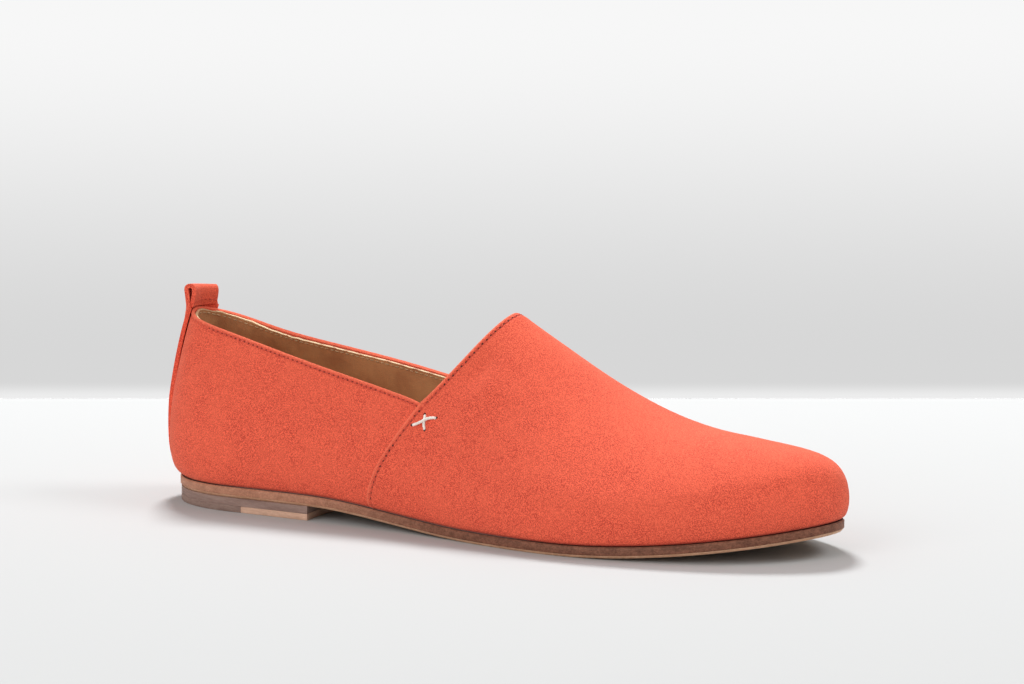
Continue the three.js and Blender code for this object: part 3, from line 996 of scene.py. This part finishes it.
# Cut leather: fine fibres that run along a stretched direction, with pits between them
def makeFibreGroup():
    group, given, out = startGroup(
        "cutFibres",
        [("Vector", "Vector", None), ("Scale", "Float", 1500.0), ("Stretch", "Vector", (1.0, 1.0, 0.25))],
        ["Tone", "Height"],
    )
    factors = {0: given["Vector"], 1: given["Stretch"]}
    stretched = addNode(group, "VectorMath", factors, operation="MULTIPLY").outputs[0]
    fine = noiseOf(group, stretched, given["Scale"], 3.0, 0.7)
    coarse = noiseOf(group, stretched, compute(group, "MULTIPLY", given["Scale"], 0.22), 2.0, 0.6)
    both = weigh(group, fine, 0.6, coarse)
    group.links.new(ease(group, both, 0.3, 0.7), out["Tone"])
    group.links.new(both, out["Height"])
    return group


napGroup = makeNapGroup()
grainGroup = makeGrainGroup()
fibreGroup = makeFibreGroup()

suedeLook = {
    "dark": (0.55, 0.058, 0.037),
    "light": (0.98, 0.165, 0.088),
    "brushed": (0.9, 0.15, 0.08),
    "patchShare": 0.35,
    # painted shade tone, for the stitch groove and the crease at the sole
    "paintedShadeTone": (0.42, 0.04, 0.028),
    "edgeHighlightTone": (0.93, 0.2, 0.11),
    "sheen": (1.0, 0.45, 0.3, 1),
    "grooveShadeReach": 1.1 * mm,  # painted shade of the groove, this far from the stitch row
    "grooveShadeShare": 0.3,
    "soleShadeReach": (0.3 * mm, 1.7 * mm),  # painted shade of the crease, dark between these distances from the sole
    "soleShadeShare": 0.7,
    "rim": (0.5 * mm, 1.5 * mm),  # painted highlight of the raised cut edge, light between these distances from the edge
    "edgeHighlightShare": 0.6,
    "pucker": (0.4 * mm, 2.4 * mm),  # the suede puckers between these distances from the row
    "puckerShare": 0.5,
    "napHeight": 0.35 * mm,
}


# Suede with darker stitch rows where the piece carries their measures
def makeSuede(name, look, sewn):
    material, tree, shader, spot = startMaterial(name, 0.92, Sheen_Weight=0.25, Sheen_Roughness=0.45)
    shader.inputs["Sheen Tint"].default_value = look["sheen"]
    shader.inputs["Specular IOR Level"].default_value = 0.15
    nap = useGroup(tree, napGroup, {"Vector": spot})
    colour = mixColours(tree, nap["Fleck"], look["dark"], look["light"])
    share = compute(tree, "MULTIPLY", nap["Patch"], look["patchShare"])
    colour = mixColours(tree, share, colour, look["brushed"])
    height = nap["Height"]
    if sewn:
        away = measureOf(tree, "rowAway")
        run = measureOf(tree, "rowRun")
        # Painted shade in the groove along the stitch row
        groove = ease(tree, away, 0.0, look["grooveShadeReach"], 1.0, 0.0)
        groove = compute(tree, "MULTIPLY", groove, look["grooveShadeShare"])
        colour = mixColours(tree, groove, colour, look["paintedShadeTone"])
        # Painted shade in the crease where the suede meets the sole
        crease = ease(tree, measureOf(tree, "soleAway"), *look["soleShadeReach"], look["soleShadeShare"], 0.0)
        colour = mixColours(tree, crease, colour, look["paintedShadeTone"])
        # Painted highlight on the raised cut edge, where it catches the light
        rim = ease(tree, measureOf(tree, "edgeAway"), *look["rim"], look["edgeHighlightShare"], 0.0)
        colour = mixColours(tree, rim, colour, look["edgeHighlightTone"])
        wave = compute(tree, "COSINE", compute(tree, "MULTIPLY", run, 2 * math.pi / stitchSizes["pitch"]))
        pucker = compute(tree, "MULTIPLY", wave, ease(tree, away, *look["pucker"], look["puckerShare"], 0.0))
        height = compute(tree, "ADD", height, pucker)
    finishLook(tree, shader, colour, height, look["napHeight"], 0.8)
    return material


liningLook = {
    "dark": (0.43, 0.185, 0.08),
    "light": (0.61, 0.31, 0.14),
    "raw": (0.74, 0.52, 0.29),
    "rawWidth": 0.45 * mm,
    "ragged": 0.7 * mm,
}


def makeLiningLook(name, look):
    material, tree, shader, spot = startMaterial(name, 0.62)
    grain = useGroup(tree, grainGroup, {"Vector": spot, "Scale": 1100.0})
    colour = mixColours(tree, grain["Tone"], look["dark"], look["light"])
    ragged = compute(tree, "SUBTRACT", noiseOf(tree, spot, 700.0), 0.5)
    ragged = compute(tree, "MULTIPLY", ragged, look["ragged"])
    edge = compute(tree, "ADD", measureOf(tree, "edgeAway"), ragged)
    raw = ease(tree, edge, look["rawWidth"] * 0.8, look["rawWidth"] * 1.2, 1.0, 0.0)
    colour = mixColours(tree, raw, colour, look["raw"])
    finishLook(tree, shader, colour, grain["Height"], 0.08 * mm, 0.6)
    return material


stainFade = (-90 * mm, 20 * mm)  # x over which the sole's stain thickens


# Cut and stained leather edges, lighter towards the heel where the stain is thin
def makeEdgeLook(name, dark, light, stretch, roughness=0.6, heel=None):
    material, tree, shader, spot = startMaterial(name, roughness)
    shader.inputs["Specular IOR Level"].default_value = 0.3
    fibre = useGroup(tree, fibreGroup, {"Vector": spot, "Stretch": stretch})
    colour = mixColours(tree, fibre["Tone"], dark, light)
    if heel:
        x = addNode(tree, "SeparateXYZ", {"Vector": spot}).outputs["X"]
        thin = ease(tree, x, *stainFade, 1.0, 0.0)
        colour = mixColours(tree, thin, colour, mixColours(tree, fibre["Tone"], *heel))
    finishLook(tree, shader, colour, fibre["Height"], 0.12 * mm, 0.6)
    return material


def makeGrainLook(name, dark, light, scale, roughness):
    material, tree, shader, spot = startMaterial(name, roughness)
    grain = useGroup(tree, grainGroup, {"Vector": spot, "Scale": scale})
    finishLook(tree, shader, mixColours(tree, grain["Tone"], dark, light), grain["Height"], 0.06 * mm, 0.5)
    return material


def makeThreadLook(name, dark, light, roughness=0.75):
    material, tree, shader, spot = startMaterial(name, roughness)
    fibre = useGroup(tree, fibreGroup, {"Vector": spot, "Scale": 2200.0, "Stretch": (1.0, 1.0, 1.0)})
    finishLook(tree, shader, mixColours(tree, fibre["Tone"], dark, light), fibre["Height"], 0.05 * mm, 0.6)
    return material


soleEdgeTones = ((0.1, 0.034, 0.019), (0.29, 0.12, 0.07))
soleHeelTones = ((0.34, 0.145, 0.085), (0.58, 0.28, 0.175))
looks = {
    "sewnSuede": makeSuede("sewnCoralSuede", suedeLook, True),
    "suede": makeSuede("coralSuede", suedeLook, False),
    "lining": makeLiningLook("tanLining", liningLook),
    # Needle holes are shallow dimples painted dark for the shade inside them; the quarters' painted shade is
    # paler
    "hole": makeThreadLook("needleHoleShade", (0.04, 0.009, 0.006), (0.1, 0.02, 0.013), 0.95),
    "softHoleShade": makeThreadLook("needleHolePaleShade", (0.16, 0.02, 0.012), (0.3, 0.035, 0.02), 0.95),
    "whiteThread": makeThreadLook("whiteThread", (0.74, 0.7, 0.62), (0.95, 0.92, 0.86)),
    "coralThread": makeThreadLook("coralThread", (0.5, 0.06, 0.035), (0.75, 0.11, 0.06)),
    "tanThread": makeThreadLook("tanThread", (0.4, 0.24, 0.12), (0.6, 0.42, 0.24)),
    "soleEdge": makeEdgeLook("stainedSoleEdge", *soleEdgeTones, (0.8, 0.8, 1.2), 0.6, soleHeelTones),
    "soleBevel": makeEdgeLook("bareSoleBevel", (0.55, 0.28, 0.16), (0.8, 0.5, 0.32), (0.4, 0.4, 1), 0.6),
    "soleUnder": makeGrainLook("soleUnderside", (0.3, 0.17, 0.09), (0.46, 0.28, 0.16), 500.0, 0.5),
    # painted shade: the sole's top margin is dark for the shade under the upper's overhang
    "soleTopShade": makeEdgeLook("paintedShadeSoleTop", (0.05, 0.02, 0.013), (0.1, 0.04, 0.026), (1, 1, 1), 0.8),
    "insole": makeGrainLook("insoleLeather", (0.36, 0.2, 0.095), (0.5, 0.3, 0.15), 700.0, 0.6),
    "lift": makeEdgeLook("stackedLift", (0.24, 0.15, 0.125), (0.37, 0.25, 0.21), (0.2, 0.2, 1.8), 0.65),
    "rubber": makeEdgeLook("heelRubber", (0.22, 0.14, 0.115), (0.34, 0.23, 0.19), (0.3, 0.3, 1.2), 0.7),
    "tip": makeEdgeLook("bareTipLeather", (0.55, 0.33, 0.23), (0.8, 0.52, 0.38), (0.2, 0.2, 1.6), 0.65),
}
print("materials made")


# Looks, ride and the nodes it stands for; test tells each face's look
def dress(piece, looksOf, nodes, test=None):
    for look in looksOf:
        piece.data.materials.append(looks[look])
    if test:
        for face in piece.data.polygons:
            face.material_index = test(face)
    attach(piece, "root")
    if nodes:
        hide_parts(*nodes)


soleTurns = {"crease": 0.8, "bevel": -0.25, "under": -0.85}  # how far up or down a face looks


# Faces turned up, the sole's top margin, take the dark painted shade
def solePart(face):
    if face.normal.z > soleTurns["crease"]:
        return 3
    if face.normal.z < soleTurns["under"]:
        return 2
    return 1 if face.normal.z < soleTurns["bevel"] else 0


dress(quarters, ["sewnSuede"], ("upper",))
dress(vamp, ["sewnSuede"], ("upper",))
dress(lining, ["lining"], ("upper",))
dress(vampHoles, ["hole"], ())
dress(quarterHoles, ["softHoleShade"], ())
dress(crossHoles, ["hole"], ())
for cross in crosses:
    dress(cross, ["whiteThread"], ())
for row in (coralStitches, *loopStitches):
    dress(row, ["coralThread"], ())
dress(liningStitches, ["tanThread"], ())
dress(outsole, ["soleEdge", "soleBevel", "soleUnder", "soleTopShade"], ("outsole",), solePart)
dress(insole, ["insole"], ("insole",))
dress(lift, ["lift"], ("heel_lift",))
dress(rubberTip, ["rubber"], ("top_piece_rubber",))
dress(leatherTip, ["tip"], ("top_piece_leather",))
dress(backStrap, ["suede"], ("heel_strap",))
print("pieces dressed")


# Floor and back wall; the wall has only its front side, so that other views look through it
studio = {
    "floorHalf": 4.0,
    "wallAway": 0.362,
    "wallWidth": 6.0,
    "wallHeight": 1.6,
    "floorTone": (0.53, 0.545, 0.55),
    "wallLow": 0.68,
    "wallHigh": 0.93,
    "footTone": 0.855,  # the lit floor's brightness, painted at the wall's foot
    "wallFoot": 9 * mm,
    "wallFade": (0.02, 0.19),
    "skyTone": (1, 0.94, 0.91, 1),
    "skyStrength": 0.52,
    "lights": (  # place, aim, diameter and watts
        ("behind", (-0.88, 1.26, 2.12), (0, 0, 0.02), 0.6, 70),
        ("frontFill", (-0.23, -2.49, 1.2), (0, 0, 0.04), 2.0, 27),
        ("toeSide", (1.8, 0.9, 2.1), (0.05, 0, 0.03), 1.4, 24),
    ),
}


def makeStudio(sizes):
    bpy.ops.object.select_all(action="DESELECT")
    bpy.ops.mesh.primitive_grid_add(x_subdivisions=4, y_subdivisions=4, size=2 * sizes["floorHalf"])
    floor = bpy.context.object
    floor.name = "floor"
    material, tree, shader, spot = startMaterial("paleFloor", 0.85)
    shader.inputs["Base Color"].default_value = (*sizes["floorTone"], 1)
    shader.inputs["Specular IOR Level"].default_value = 0
    floor.data.materials.append(material)
    bpy.ops.object.select_all(action="DESELECT")
    bpy.ops.mesh.primitive_grid_add(x_subdivisions=4, y_subdivisions=4, size=1)
    wall = bpy.context.object
    wall.name = "wall"
    facing = Matrix.Rotation(math.radians(viewpoint["azimuth"]), 4, "Z")
    facing = facing @ Matrix.Translation((0, sizes["wallAway"], sizes["wallHeight"] / 2))
    upright = Matrix.Rotation(math.pi / 2, 4, "X")
    wall.data.transform(facing @ upright @ Matrix.Diagonal((sizes["wallWidth"], sizes["wallHeight"], 1, 1)))
    # The wall glows with painted light: brighter towards the top, and at its foot blending into the lit
    # floor's brightness
    material = bpy.data.materials.new("paintedLightWall")
    material.use_nodes = True
    tree = material.node_tree
    tree.nodes.clear()
    spot = addNode(tree, "TexCoord").outputs["Object"]
    height = addNode(tree, "SeparateXYZ", {"Vector": spot}).outputs["Z"]
    low, high = sizes["wallLow"], sizes["wallHigh"]
    tone = ease(tree, height, *sizes["wallFade"], low, high)
    foot = ease(tree, height, 0.0, sizes["wallFoot"], sizes["footTone"] - low, 0.0)
    glow = addNode(tree, "Emission", {"Color": compute(tree, "ADD", tone, foot)})
    clear = addNode(tree, "BsdfTransparent")
    away = addNode(tree, "NewGeometry").outputs["Backfacing"]
    both = addNode(tree, "MixShader", {0: away, 1: glow.outputs[0], 2: clear.outputs[0]})
    addNode(tree, "OutputMaterial", {"Surface": both.outputs[0]})
    wall.data.materials.append(material)
    wall.visible_shadow = False
    wall.visible_diffuse = False
    wall.visible_glossy = False


def addLight(name, place, aim, size, power):
    data = bpy.data.lights.new(name, "AREA")
    data.shape = "DISK"
    data.size = size
    data.energy = power
    light = bpy.data.objects.new(name, data)
    light.location = place
    light.rotation_euler = (Vector(aim) - Vector(place)).to_track_quat("-Z", "Y").to_euler()
    bpy.context.scene.collection.objects.link(light)


makeStudio(studio)
world = bpy.data.worlds.new("studio")
bpy.context.scene.world = world
world.use_nodes = True
sky = world.node_tree.nodes["Background"].inputs
sky["Color"].default_value = studio["skyTone"]
sky["Strength"].default_value = studio["skyStrength"]
for light in studio["lights"]:
    addLight(*light)
bpy.context.scene.view_settings.view_transform = "Standard"
print("studio lit")
